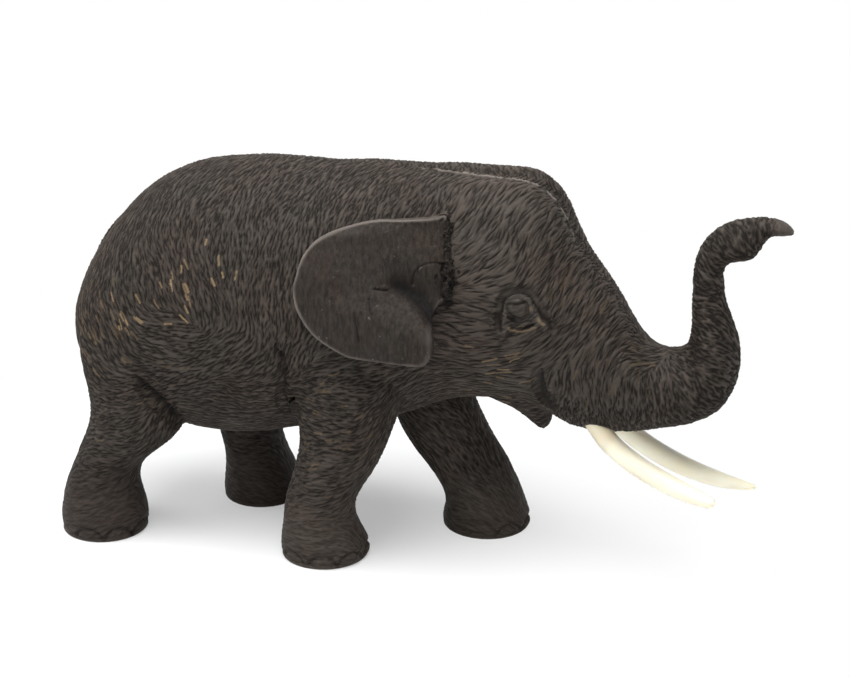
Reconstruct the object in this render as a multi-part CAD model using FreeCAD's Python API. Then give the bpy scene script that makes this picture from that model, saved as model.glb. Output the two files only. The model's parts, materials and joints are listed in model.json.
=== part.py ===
import FreeCAD, Part
import math
import os

# Carved wooden elephant on its four feet, trunk raised, one foreleg striding.
# Millimetres.  +X runs towards the trunk, +Y to the elephant's left, +Z up.
# The origin is on the ground, under the middle of the whole figure.

V = FreeCAD.Vector

# --- overall sizes ----------------------------------------------------------
FIGURE_LENGTH = 221.1      # heel of the hind foot to the tip of the trunk
BARREL_WIDTH = 64.0        # across the widest place of the torso
FIGURE_HEIGHT = 121.4      # soles to the top of the forehead's domes

# --- fits -------------------------------------------------------------------
EAR_GLUE_GAP = 0.12        # glue line all round an ear's root in its slot
TUSK_RADIAL_PLAY = 0.05    # running fit of a tusk's root in its socket
SOCKET_FLOOR_GAP = 0.4     # air left behind a fully home tusk

# --- tusks ------------------------------------------------------------------
TUSK_DIAMETER = 6.2
TUSK_ROOT_LENGTH = 9.0     # straight stretch inside the socket
TUSK_NECK_LENGTH = 3.0     # straight stretch outside it
TUSK_TAPER_POWER = 4.4     # the higher, the nearer the tip the taper comes
TUSK_STATIONS = 10

RIGHT_TUSK_LENGTH = 38.4   # along the curve, beyond the neck
RIGHT_TUSK_TIP = 2.9       # diameter of its blunt end
LEFT_TUSK_LENGTH = 49.2
LEFT_TUSK_TIP = 1.4

# middle of the socket's mouth in the trunk's underside, yaw, pitch below level at root and tip,
# how early the bend comes (1 is even, less is early), curved length, tip diameter
TUSKS = {
    "right_tusk": ((57.8, -6.5, 45.0), -9, 53, 11, 0.46, RIGHT_TUSK_LENGTH, RIGHT_TUSK_TIP),
    "left_tusk": ((57.5, 6.8, 45.0), 9, 43.5, 6.4, 1.04, LEFT_TUSK_LENGTH, LEFT_TUSK_TIP),
}

# --- ears -------------------------------------------------------------------
EAR_ROOT_THICKNESS = 3.6
EAR_RIM_THICKNESS = 2.2
EAR_EDGE_POWER = 0.6       # 1 gives an oval cross-section, less gives flatter faces

# height, front x, back x, outward distance of the sheet's middle at four even places from front to back
EAR_RIBS = [
    (71.2, 12.0, -10.0, 37.0, 36.5, 36.0, 35.5),
    (72.5, 13.8, -13.5, 37.0, 36.6, 36.0, 35.3),
    (75.0, 14.8, -18.4, 36.8, 37.0, 36.0, 35.0),
    (79.0, 14.6, -23.0, 36.2, 37.0, 36.0, 34.6),
    (83.0, 13.6, -25.6, 34.0, 36.5, 35.5, 34.2),
    (86.5, 14.5, -26.8, 29.5, 35.0, 35.0, 33.8),
    (90.0, 17.5, -27.1, 24.5, 32.0, 34.0, 33.3),
    (94.5, 18.5, -26.2, 23.0, 29.8, 33.0, 32.5),
    (99.0, 18.0, -24.8, 21.8, 28.3, 31.5, 31.5),
    (103.5, 17.0, -21.4, 20.0, 26.3, 29.5, 30.3),
    (106.8, 16.0, -16.0, 18.5, 24.5, 28.0, 29.0),
    (109.2, 15.0, -8.4, 17.5, 22.8, 25.5, 27.0),
    (110.3, 14.5, -2.5, 17.0, 22.0, 24.5, 26.0),
]

# --- filler along each ear's seam ---------------------------------------------
# height, x, outward distance, half size along x, half size outwards
FILLER_BEAD = [
    (110.4, 14.3, 18.9, 0.9, 1.2),
    (107.0, 15.1, 20.9, 1.6, 1.6),
    (102.0, 16.0, 23.4, 1.4, 1.6),
    (97.0, 16.9, 25.3, 2.0, 1.9),
    (92.0, 16.7, 26.5, 2.2, 1.9),
    (88.4, 16.3, 27.1, 1.3, 1.5),
]

# --- carved body ------------------------------------------------------------
GROOVE_HALF_WIDTH = 6.5    # of the hollow between the forehead's two domes

# rump to trunk tip: top x, top z, bottom x, bottom z, half width, drop of the widest place, groove depth
SPINE = [
    (-106.8, 72, -106.8, 57, 8.5, 0.0, 0),
    (-104.2, 79, -104.2, 50, 15, 0.0, 0),
    (-99.8, 87, -99.8, 45.5, 21, 0.0, 0),
    (-93.0, 97, -93.0, 43, 26, 0.05, 0),
    (-84.2, 106.4, -84.0, 38.5, 29, 0.08, 0),
    (-73.6, 113.3, -73.5, 33, 31, 0.08, 0),
    (-60.0, 117.6, -60.0, 31, 32, 0.08, 0),
    (-44.0, 119.1, -44.0, 32.5, 32, 0.08, 0),
    (-28.0, 119, -28.0, 36, 31.5, 0.08, 0),
    (-12.0, 120, -12.0, 39, 30.5, 0.08, 0.5),
    (2.0, 120.3, 2.0, 44, 29, 0.08, 1.5),
    (14.0, 121.1, 14.0, 48.8, 27.3, 0.10, 2.5),
    (26.0, 121.4, 26.0, 50.6, 26, 0.12, 3),
    (37.1, 120.6, 35.0, 50, 24, 0.12, 3),
    (44.8, 113.8, 43.0, 46.3, 21.3, 0.10, 3),
    (49.6, 103.6, 49.5, 43.0, 18.8, 0.05, 2),
    (55.0, 94.7, 56.0, 42.6, 17.2, 0.0, 1),
    (60.3, 86.8, 62.5, 42.6, 16, 0.0, 0),
    (64.9, 79.0, 69.5, 43.3, 15, 0.0, 0),
    (69.3, 72.3, 76.8, 45.0, 13.8, 0.0, 0),
    (75.4, 69.8, 85.0, 47.2, 12.6, 0.0, 0),
    (80.6, 71.0, 92.3, 51.9, 11.6, 0.0, 0),
    (82.2, 76.4, 97.1, 61.3, 10.4, 0.0, 0),
    (82.2, 84, 97.1, 73, 9.0, 0.0, 0),
    (82.1, 91, 93.4, 84, 7.2, 0.0, 0),
    (82.4, 97, 92.0, 91.2, 6.4, 0.0, 0),
    (84.2, 102.3, 92.2, 95.8, 6, 0.0, 0),
    (87.7, 107, 95.2, 97.4, 6, 0.0, 0),
    (92.7, 110, 98.8, 98, 6, 0.0, 0),
    (98.3, 111.5, 101.6, 101, 5.6, 0.0, 0),
    (103.5, 111.7, 104.2, 105.4, 5, 0.0, 0),
    (108.2, 110.6, 107.9, 106.1, 3.8, 0.0, 0),
    (111.3, 107.8, 111.2, 106.6, 1.8, 0.0, 0),
]

# lower jaw, throat to lip: top x, top z, bottom x, bottom z, half width
JAW = [
    (8, 70, 6, 57, 12),
    (18, 70, 15, 53.5, 14.5),
    (28, 67, 23, 50.6, 14),
    (37, 62, 29.5, 47.8, 12),
    (42.5, 57, 34, 44.2, 8.5),
    (44.0, 51.5, 37.5, 40.9, 5.5),
    (43.0, 46, 40.2, 39.6, 2.4),
]

# tail, root to tuft, in low relief on the rump: height, x, y, half size along x, half width
TAIL = [
    (99, -90.0, 0, 1.0, 1.4),
    (95, -93.8, 0, 1.8, 2.0),
    (87, -99.2, 0.3, 2.0, 2.1),
    (79, -103.4, 0.6, 2.0, 2.2),
    (72, -105.9, 0.6, 2.0, 2.3),
    (64, -106.0, 0.2, 2.0, 2.3),
    (57, -106.0, -0.3, 2.2, 2.8),
    (52, -103.9, -0.5, 2.3, 3.3),
    (48, -101.6, -0.4, 2.0, 2.6),
    (45.5, -99.0, -0.2, 1.2, 1.3),
]

# legs, sole to hip: height, back x, front x, inner y, outer y
LEGS = {
    ("right", "front"): [
        (0, -36.5, -11, 6.0, 31.0),
        (3, -37.4, -9.7, 5.2, 31.8),
        (7, -37.2, -11.2, 5.5, 31.5),
        (12, -36.6, -13.5, 6.5, 30.5),
        (19, -35.6, -13.0, 7, 30),
        (27, -33.3, -8.7, 6.5, 30.5),
        (36, -31.2, -4.2, 5, 31),
        (45, -31.5, -1.2, 4, 31.5),
        (56, -32.4, 2.5, 3, 31.5),
        (68, -30, 4, 3, 28.5),
        (82, -24, 0, 4, 21),
    ],
    ("right", "hind"): [
        (0, -109.0, -83.0, 5.0, 31.0),
        (4, -109.8, -81.8, 4.2, 31.8),
        (9, -109.2, -82.6, 4.5, 31.5),
        (16, -107.5, -84.0, 5.5, 30.5),
        (22, -105.2, -82.5, 6, 30),
        (29, -102.0, -75.5, 5, 30.3),
        (36, -99.2, -69, 4, 30.8),
        (45, -98.8, -67, 3, 31),
        (56, -101, -67, 3, 30),
        (68, -101, -69, 3, 27.5),
        (84, -90, -72, 5, 20),
    ],
    ("left", "front"): [
        (0, 6.0, 32.0, 2.0, 27.0),
        (3, 5.0, 33.2, 1.4, 27.8),
        (8, 5.8, 31.8, 2.0, 27.5),
        (15, 2.8, 28.8, 3.5, 27.5),
        (22, -3.6, 25.0, 4.5, 28),
        (30, -8.9, 19.8, 4.5, 29.5),
        (39, -12.6, 15, 4, 31),
        (50, -16, 11, 4, 31.5),
        (64, -17, 9, 3, 28.8),
        (82, -14, 4, 4, 21),
    ],
    ("left", "hind"): [
        (0, -68.5, -44.0, 6.0, 31.0),
        (3.5, -69.0, -43.2, 5.2, 31.8),
        (9, -68.5, -44.8, 5.5, 31.5),
        (16, -68.6, -48.0, 6.5, 30.5),
        (24, -70.2, -49.6, 6, 30.5),
        (33, -72.5, -51, 5, 31),
        (44, -79, -52, 4, 31),
        (56, -87, -56, 3, 31),
        (70, -89, -62, 3, 27.5),
        (84, -86, -68, 5, 20),
    ],
}

# --- marks cut into the skin --------------------------------------------------
PROBE_REACH = 150.0        # farther out than any skin
CUTTER_LIFT = 1.6          # a cutter's ends rise this many radii off the skin

# ring round the eyeball: x, z, radius, half width
EYE_RING = (36.5, 86.1, 3.1, 0.75)

# sides, cutter radius, depth, and the cut's x, z down the flank
FLANK_CUTS = {
    "brow": ((-1, 1), 1.3, 0.8, [(31.2, 76), (31, 83), (31.5, 88.8), (33.6, 91.3), (38.2, 91.9),
                                 (40.9, 90.6), (43.7, 86.1), (46.5, 78)]),
    "mouth": ((-1, 1), 2.0, 1.4, [(43.4, 69), (41.8, 61.8), (43.1, 54.9), (44.8, 49)]),
    "right_thigh": ((-1,), 2.4, 1.4, [(-80, 59), (-75, 51), (-71, 45.5), (-67.5, 37)]),
    "left_thigh": ((1,), 2.4, 1.4, [(-62, 60), (-57, 52), (-53.5, 46), (-50, 37)]),
    "right_shoulder": ((-1,), 1.8, 1.0, [(-34, 74), (-31.5, 66), (-31.7, 60), (-33.5, 53), (-32, 43)]),
    "left_shoulder": ((1,), 1.8, 1.0, [(-18.5, 73), (-16, 62), (-16.5, 54), (-13, 43)]),
}

# how far the figure's own size is from the size that the tables above are drawn at
STRETCH_X = FIGURE_LENGTH / (SPINE[-1][0] - min(row[1] for row in LEGS["right", "hind"]))
STRETCH_Y = BARREL_WIDTH / (2 * max(row[4] for row in SPINE))
STRETCH_Z = FIGURE_HEIGHT / max(row[1] for row in SPINE)

RING_POINTS = 16           # points on each round section
EAR_RING_POINTS = 20
SKIN_DEGREE = 3            # of the smooth walls, both ways


def placed(x, y, z):
    """A point of the tables, at the figure's own size."""
    return V(x * STRETCH_X, y * STRETCH_Y, z * STRETCH_Z)


def ring_curve(points):
    """A smooth closed curve through the points, with evenly spaced knots."""
    curve = Part.BSplineCurve()
    knots = [float(i) for i in range(len(points) + 1)]
    curve.interpolate(Points=points, PeriodicFlag=True, Parameters=knots)
    return curve


def skin(rings):
    """A solid whose one smooth wall passes through every ring of points, with flat ends.
    Each ring gives a closed cubic, and the control points of like number are joined
    along the rings by cubics that share their knots."""
    around = [ring_curve(points) for points in rings]
    nets = [curve.getPoles() for curve in around]
    centres = [sum(points, V(0, 0, 0)) * (1 / len(points)) for points in rings]
    places = [0.0]
    for near, far in zip(centres, centres[1:]):
        places.append(places[-1] + math.sqrt((far - near).Length))
    along = []
    for column in zip(*nets):
        curve = Part.BSplineCurve()
        curve.interpolate(Points=list(column), Parameters=places)
        along.append(curve)
    wall = Part.BSplineSurface()
    wall.buildFromPolesMultsKnots([curve.getPoles() for curve in along],
                                  around[0].getMultiplicities(), along[0].getMultiplicities(),
                                  around[0].getKnots(), along[0].getKnots(),
                                  True, False, SKIN_DEGREE, SKIN_DEGREE)
    ends = [Part.Face(Part.Wire([curve.toShape()])) for curve in (around[0], around[-1])]
    shell = Part.Shell([wall.toShape()] + ends)
    shell.sewShape()
    solid = Part.Solid(shell)
    if solid.Volume < 0:
        solid.reverse()
    return solid


def oval(centre, up, side, belly=0.0, groove=0.0):
    """Closed ring of points: up and side are the half axes, belly lowers the widest place,
    and groove sinks the top along its middle line."""
    points = []
    for i in range(RING_POINTS):
        turn = 2 * math.pi * i / RING_POINTS
        rise, reach = math.cos(turn), math.sin(turn)
        lift = rise - belly * reach * reach
        if rise > 0:
            across = reach * side.Length / GROOVE_HALF_WIDTH
            lift -= groove / up.Length * math.exp(-across * across)
        points.append(centre + up * lift + side * reach)
    return points


def spine_ring(top_x, top_z, bottom_x, bottom_z, half_width, belly=0.0, groove=0.0):
    """A ring across the middle plane, from its top point to its bottom point."""
    high, low = placed(top_x, 0, top_z), placed(bottom_x, 0, bottom_z)
    return oval((high + low) * 0.5, (high - low) * 0.5, placed(0, half_width, 0), belly, groove)


def level_ring(z, x, y, half_x, half_y):
    return oval(placed(x, y, z), placed(half_x, 0, 0), placed(0, half_y, 0))


def leg(side, end):
    turn = -1 if side == "right" else 1
    rings = []
    for z, back, front, inner, outer in LEGS[side, end]:
        rings.append(level_ring(z, (back + front) / 2, turn * (inner + outer) / 2,
                                (front - back) / 2, (outer - inner) / 2))
    return skin(rings)


def squarish(value):
    """Flattens a sine or cosine, so that a ring has long sides and tight ends."""
    return math.copysign(abs(value) ** EAR_EDGE_POWER, value)


def bend(distances, place):
    """The cubic through evenly spaced outward distances, at a place from 0 to 1."""
    last = len(distances) - 1
    total = 0.0
    for i, distance in enumerate(distances):
        weight = 1.0
        for j in range(len(distances)):
            if j != i:
                weight *= (place * last - j) / (i - j)
        total += distance * weight
    return total


def ear_ring(rib, side, grow):
    z, front, back = rib[:3]
    front, back = front * STRETCH_X, back * STRETCH_X
    distances = [distance * STRETCH_Y for distance in rib[3:]]
    points = []
    for i in range(EAR_RING_POINTS):
        turn = 2 * math.pi * i / EAR_RING_POINTS
        x = (front + back) / 2 + squarish(math.cos(turn)) * ((front - back) / 2 + grow)
        place = (front - x) / (front - back)
        thickness = EAR_ROOT_THICKNESS + (EAR_RIM_THICKNESS - EAR_ROOT_THICKNESS) * place
        outward = bend(distances, place) + squarish(math.sin(turn)) * (thickness / 2 + grow)
        points.append(V(x, side * outward, z * STRETCH_Z))
    return points


def ear(side, grow=0.0):
    """The ear as a bent sheet, made larger all round by grow."""
    ribs = [list(rib) for rib in EAR_RIBS]
    ribs[0][0] -= grow
    ribs[-1][0] += grow
    return skin([ear_ring(rib, side, grow) for rib in ribs])


def filler(side):
    return skin([level_ring(z, x, side * y, half_x, half_y) for z, x, y, half_x, half_y in FILLER_BEAD])


def heading(yaw, pitch):
    """The direction at a yaw towards the left and a pitch below level, in degrees."""
    turn, drop = math.radians(yaw), math.radians(pitch)
    return V(math.cos(drop) * math.cos(turn), math.cos(drop) * math.sin(turn), -math.sin(drop))


def tusk(mouth, yaw, root_pitch, tip_pitch, bend_power, length, tip_diameter):
    """A straight root, then a horn that bends up in one vertical plane and tapers to its tip."""
    mouth = placed(*mouth)
    out = heading(yaw, root_pitch)
    root = Part.makeCylinder(TUSK_DIAMETER / 2, TUSK_ROOT_LENGTH + TUSK_NECK_LENGTH,
                             mouth - out * TUSK_ROOT_LENGTH, out)
    place = mouth + out * TUSK_NECK_LENGTH
    rings = []
    for i in range(TUSK_STATIONS + 1):
        share = i / TUSK_STATIONS
        along = heading(yaw, root_pitch + (tip_pitch - root_pitch) * share ** bend_power)
        radius = (TUSK_DIAMETER + (tip_diameter - TUSK_DIAMETER) * share ** TUSK_TAPER_POWER) / 2
        rings.append(Part.Wire([Part.makeCircle(radius, place, along)]))
        place = place + along * (length / TUSK_STATIONS)
    return root.fuse(Part.makeLoft(rings, True)).removeSplitter()


def socket(mouth, yaw, root_pitch):
    """The round hole that a tusk's root slides in, open well past the wood's skin."""
    mouth = placed(*mouth)
    out = heading(yaw, root_pitch)
    depth = TUSK_ROOT_LENGTH + SOCKET_FLOOR_GAP
    return Part.makeCylinder(TUSK_DIAMETER / 2 + TUSK_RADIAL_PLAY, 2 * depth, mouth - out * depth, out)


def touch(body, start, towards):
    """Where a probe that goes straight from start first touches the body."""
    probe = Part.makeLine(start, start + towards * PROBE_REACH).common(body)
    return min((end.Point for end in probe.Vertexes), key=start.distanceToPoint)


def flank_scoop(body, side, radius, depth, path):
    """A round cutter that runs along the flank at the depth and leaves it at both ends."""
    out = V(0, side, 0)
    lifts = [CUTTER_LIFT * radius] + [radius - depth] * (len(path) - 2) + [CUTTER_LIFT * radius]
    centres = []
    for (x, z), lift in zip(path, lifts):
        centres.append(touch(body, placed(x, 0, z) + out * PROBE_REACH, -out) + out * lift)
    route = Part.BSplineCurve()
    route.interpolate(Points=centres)
    tip = Part.makeCircle(radius, centres[0], route.tangent(route.FirstParameter)[0])
    return Part.Wire([route.toShape()]).makePipeShell([Part.Wire([tip])], True, True)


def eye_ring(body, side):
    """A ring that lies on the skin round the eye, turned to the skin there."""
    x, z, radius, half_width = EYE_RING
    places = [(x, z), (x - radius, z), (x + radius, z), (x, z - radius), (x, z + radius)]
    starts = [placed(a, 0, b) + V(0, side * PROBE_REACH, 0) for a, b in places]
    middle, back, front, low, high = [touch(body, start, V(0, -side, 0)) for start in starts]
    return Part.makeTorus(radius, half_width, middle, (front - back).cross(high - low))


def marks(body):
    """Every cutter that leaves its mark in the skin: the rings round the eyes, and the folds."""
    cutters = [eye_ring(body, side) for side in (-1, 1)]
    for sides, radius, depth, path in FLANK_CUTS.values():
        cutters += [flank_scoop(body, side, radius, depth, path) for side in sides]
    return cutters


def carved_body():
    trunk_and_torso = skin([spine_ring(*station) for station in SPINE])
    jaw = skin([spine_ring(*station) for station in JAW])
    tail = skin([level_ring(*station) for station in TAIL])
    body = trunk_and_torso.fuse([jaw, tail] + [leg(side, end) for side, end in LEGS])
    holes = [ear(side, EAR_GLUE_GAP) for side in (-1, 1)]
    holes += [socket(*setting[:3]) for setting in TUSKS.values()]
    return body.cut(holes + marks(body))


def save(name, shape):
    shape.exportStep(os.path.join("parts", name + ".step"))
    print(name, len(shape.Solids), shape.isValid(), round(shape.Volume), shape.BoundBox)


os.makedirs("parts", exist_ok=True)
body = carved_body()
save("carved_body", body)
for name, setting in TUSKS.items():
    save(name, tusk(*setting))
for name, side in (("right", -1), ("left", 1)):
    blade = ear(side)
    save(name + "_ear", blade)
    save(name + "_ear_filler", filler(side).cut([body, blade]))
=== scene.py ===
"""Dresses a carved wooden elephant: gouged dark wood, let-in ears, seam filler and cream tusks.

It is laid out as an add-on and run as a script. The carving sums are done in millimetres, and MM
turns them into Blender's metres. +X runs to the raised trunk, +Y to the elephant's left, +Z up.
"""
import json
import math

import bmesh
import bpy
import numpy as np
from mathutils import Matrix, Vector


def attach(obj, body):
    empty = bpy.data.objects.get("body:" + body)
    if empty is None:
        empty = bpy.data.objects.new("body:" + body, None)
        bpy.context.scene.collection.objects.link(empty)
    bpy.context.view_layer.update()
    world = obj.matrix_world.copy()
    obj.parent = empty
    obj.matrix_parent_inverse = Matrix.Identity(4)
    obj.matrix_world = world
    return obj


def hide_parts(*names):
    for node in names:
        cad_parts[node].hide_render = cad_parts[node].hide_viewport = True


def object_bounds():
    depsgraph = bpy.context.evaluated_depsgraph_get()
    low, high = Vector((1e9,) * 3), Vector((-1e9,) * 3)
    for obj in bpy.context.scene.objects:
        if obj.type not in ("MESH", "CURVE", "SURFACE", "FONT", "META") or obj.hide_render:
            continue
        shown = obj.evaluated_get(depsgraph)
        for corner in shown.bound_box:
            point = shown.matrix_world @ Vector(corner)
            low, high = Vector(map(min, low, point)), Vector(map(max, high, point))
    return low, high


bl_info = {
    "name": "Carved Elephant",
    "version": (1, 0, 0),
    "blender": (4, 5, 0),
    "location": "3D View > Sidebar > Carving",
    "description": "Carves and finishes a wooden elephant around its construction frame",
    "category": "Add Mesh",
}

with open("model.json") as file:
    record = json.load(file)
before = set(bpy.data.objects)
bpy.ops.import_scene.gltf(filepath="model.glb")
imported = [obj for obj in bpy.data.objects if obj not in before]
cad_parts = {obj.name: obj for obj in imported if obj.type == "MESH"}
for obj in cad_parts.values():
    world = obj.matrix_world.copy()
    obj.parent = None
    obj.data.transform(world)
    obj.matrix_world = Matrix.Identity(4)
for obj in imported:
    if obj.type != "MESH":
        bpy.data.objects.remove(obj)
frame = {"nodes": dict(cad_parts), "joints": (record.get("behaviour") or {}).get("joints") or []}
CAD_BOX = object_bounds()
MM = 0.001
RIGHT, LEFT, BOTH = -1, 1, 0

# ---------------------------------------------------------------------------
# Where the carver's marks lie, in millimetres. A side view gives x and z.
# ---------------------------------------------------------------------------

# side, x, z and slope in degrees of the gouge strokes there
COMBING = [
    (BOTH, -98, 85, 77), (BOTH, -83, 105, 60), (BOTH, -58, 117, 57), (BOTH, -68, 101, 85),
    (BOTH, -70, 93, 112), (BOTH, -57, 86, 115), (BOTH, -44, 98, 87), (BOTH, -41, 84, 90),
    (BOTH, -86, 70, 120), (BOTH, -69, 68, 0), (BOTH, -94, 56, 150), (BOTH, -87, 48, 5),
    (BOTH, -79, 46, 25), (BOTH, -72, 42, 55), (RIGHT, -91, 34, 5), (RIGHT, -98, 17, 15),
    (RIGHT, -95, 8, 15), (BOTH, -59, 61, 25), (BOTH, -49, 51, 165), (BOTH, -41, 48, 8),
    (BOTH, -62, 41, 172), (BOTH, -44, 66, 45), (BOTH, -33, 76, 88), (BOTH, -36, 98, 85),
    (BOTH, -39, 111, 75), (BOTH, -26, 70, 70), (BOTH, -18, 64, 15), (BOTH, -8, 61, 0),
    (BOTH, -1, 57, 40), (BOTH, -24, 51, 172), (RIGHT, -14, 50, 0), (RIGHT, -5, 49, 42),
    (RIGHT, -13, 40, 8), (RIGHT, -7, 39, 45), (RIGHT, -24, 26, 10), (RIGHT, -15, 22, 20),
    (RIGHT, -19, 10, 5), (BOTH, -1, 115, 68), (BOTH, 8, 116, 75), (BOTH, 22, 117, 65),
    (BOTH, 37, 114, 60), (BOTH, 24, 107, 60), (BOTH, 36, 105, 73), (BOTH, 46, 104, 65),
    (BOTH, 25, 100, 40), (BOTH, 23, 94, 22), (BOTH, 20, 88, 175), (BOTH, 26, 83, 175),
    (BOTH, 18, 74, 170), (BOTH, 26, 73, 3), (BOTH, 34, 74, 12), (BOTH, 40, 75, 25),
    (BOTH, 45, 78, 45), (BOTH, 50, 88, 65), (BOTH, 55, 87, 68), (BOTH, 30, 57, 168),
    (BOTH, 60, 83, 58), (BOTH, 64, 76, 50), (BOTH, 70, 71, 25), (BOTH, 59, 70, 73),
    (BOTH, 54, 62, 82), (BOTH, 59, 57, 88), (BOTH, 68, 58, 92), (BOTH, 76, 61, 102),
    (BOTH, 85, 62, 118), (BOTH, 91, 59, 128), (BOTH, 87, 68, 145), (BOTH, 93, 68, 157),
    (BOTH, 96, 73, 165), (BOTH, 91, 80, 172), (BOTH, 88, 88, 178), (BOTH, 87, 95, 150),
    (BOTH, 86, 101, 145), (BOTH, 90, 105, 122), (BOTH, 96, 109, 108), (BOTH, 102, 110, 97),
    (LEFT, 4, 37, 35), (LEFT, 13, 28, 45), (LEFT, 23, 13, 30), (LEFT, 19, 5, 10),
    (LEFT, -56, 40, 20), (LEFT, -60, 25, 10), (LEFT, -56, 7, 10),
]

# the eye: its middle in side view, the reach of its dish and ball, and how far above the middle
# the upper lid starts
EYE = (36.5, 86.1)
EYE_DISH = 4.6
EYEBALL_REACH = 2.7
LID_RISE = 1.5
BROW_LINE = [(31.4, 79.3), (31.1, 83.0), (31.7, 88.2), (33.6, 90.6), (37.6, 91.0), (40.2, 89.8),
             (42.4, 85.9), (45.7, 79.2)]
LID_RIDGE = [(32.9, 78.5), (33.0, 82.5), (33.4, 86.5), (34.8, 88.4), (37.0, 89.0), (39.0, 88.2),
             (40.4, 85.4), (44.0, 79.8)]
LOWER_LIDS = [[(33.6, 83.4), (36.8, 81.9), (40.2, 82.2)],
              [(34.8, 80.4), (38.6, 79.8), (41.2, 81.0)]]

MOUTH_CORNER = [(42.9, 66.5), (41.8, 61.8), (43.1, 54.9), (44.4, 50.5)]
LIP = (42.6, 0, 42.0)
FINGER_LOW = 95            # the trunk's finger lies above this height
TAIL_HALF_WIDTH = 2.9
WANDER_CELL = 2.2          # over this distance the knife strays from its line and comes back

# side, depth, half width and side-view path of each cut line. Where the frame has the fold
# already, the depth is what the knife adds to it.
CUTS = [
    (BOTH, 0.55, 0.7, BROW_LINE),
    (BOTH, 0.4, 0.4, LOWER_LIDS[0]),
    (BOTH, 0.45, 0.4, LOWER_LIDS[1]),
    (BOTH, 0.6, 0.5, [(17.0, 80.7), (20.4, 78.4)]),
    (BOTH, 0.9, 1.1, MOUTH_CORNER),
    (RIGHT, 0.6, 1.1, [(-78.7, 55.6), (-74.5, 50.6), (-70.9, 45.5), (-68.6, 40.2)]),
    (LEFT, 0.4, 1.3, [(-61.0, 58.0), (-57.0, 52.0), (-53.5, 46.0), (-51.0, 40.0)]),
    (RIGHT, 0.5, 0.5, [(-33.5, 71.4), (-31.4, 66.1), (-31.7, 59.9), (-33.6, 53.1), (-32.5, 45.9)]),
    (LEFT, 0.5, 0.5, [(-18.0, 70.0), (-16.0, 62.0), (-16.5, 54.0), (-13.5, 46.0)]),
]

# middle and reach of the corners that are rubbed round: the lip and the trunk's finger
ROUNDED_SPOTS = [(41.5, 0.0, 41.0, 9.0), (111.0, 0.0, 107.0, 5.0), (94.0, 0.0, 96.5, 6.0)]

# half width and height of a toenail, then middle x and y of each foot and its toenails' bearings
NAIL_HALF_WIDTH = 4.6
NAIL_HEIGHT = 4.4
FEET = {
    "right_foreleg": (-23.5, -18.5, (-125, -77, -35, 8)),
    "right_hind_leg": (-95.8, -18.0, (-92, -49, -8)),
    "left_foreleg": (19.0, 14.6, (-42, 0, 45, 90)),
    "left_hind_leg": (-56.0, 18.5, (0, 45, 90)),
}

# side-view middle and reach of the patches where the stain has rubbed through, how many of the
# strokes there show it, and how strongly
BARE_PATCHES = [(-64, 84, 7, 0.14, 1.0), (-54, 91, 5, 0.08, 0.9), (-82, 74, 6, 0.14, 0.9),
                (-92, 66, 12, 0.1, 0.35), (-17, 43, 12, 0.07, 0.3), (29, 66, 8, 0.14, 0.5),
                (38, 80, 3, 0.15, 0.4), (60, 72, 18, 0.03, 0.2), (-78, 52, 16, 0.03, 0.2)]

# piece, lowest and highest corner of the body's upper part. The legs part from it at LEG_TOP.
# The inner walls that close the pieces start RIM_INSET below the skin. They meet APEX_DEPTH below
# it where it is flat, and LEG_LID above the legs' tops.
LEG_TOP = 29.5
LEG_LID = 7.0
RIM_INSET = 2.5
APEX_DEPTH = 15.0
FAR = 999
BLOCKS = [
    ("rump", (-FAR, -FAR, 0), (-73, FAR, 78)),
    ("croup", (-FAR, -FAR, 78), (-73, FAR, FAR)),
    ("haunch", (-73, -FAR, 0), (-42, FAR, 78)),
    ("back", (-73, -FAR, 78), (-42, FAR, FAR)),
    ("belly", (-42, -FAR, 0), (22, FAR, 52)),
    ("barrel", (-42, -FAR, 52), (-8, FAR, 78)),
    ("withers", (-42, -FAR, 78), (-8, FAR, FAR)),
    ("shoulders", (-8, -FAR, 52), (22, FAR, 78)),
    ("crown", (-8, -FAR, 78), (22, FAR, FAR)),
    ("head", (22, -FAR, 0), (46, FAR, FAR)),
    ("trunk_base", (46, -FAR, 0), (76, FAR, FAR)),
    ("trunk", (76, -FAR, 0), (FAR, FAR, FAR)),
]

# how near the ears and tusks the wood is left plain, and the cubes and skin used to find it
POCKET_REACH = 0.9
POCKET_SEARCH = 1.2
POCKET_SKIN_SIZE = 0.8

# ear: the step where its root drops behind its lobe, and depth, half width and path of the crack
# at the step's head, two scratches and a curved knife mark
EAR_STEP = [(1.4, 92.2), (5.8, 90.2), (9.8, 87.6), (12.9, 84.2), (14.8, 80.2), (15.6, 74.0)]
EAR_SEAM = [(16.3, 87.0), (16.8, 92.0), (16.6, 97.0), (15.9, 102.0), (15.0, 107.0), (14.3, 110.6)]
EAR_CUTS = [
    (0.6, 0.22, [(-2.9, 92.0), (0.9, 91.6)]),
    (0.35, 0.25, [(-3.9, 89.4), (-3.6, 87.6), (-2.6, 85.4)]),
    (0.3, 0.25, [(-7.6, 85.6), (-7.0, 81.4), (-6.2, 77.4)]),
    (0.25, 0.22, [(6.9, 92.6), (7.1, 95.2), (8.3, 97.4), (10.4, 98.6), (13.0, 98.8), (16.0, 98.0)]),
]


# ---------------------------------------------------------------------------
# Array tools
# ---------------------------------------------------------------------------


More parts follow.
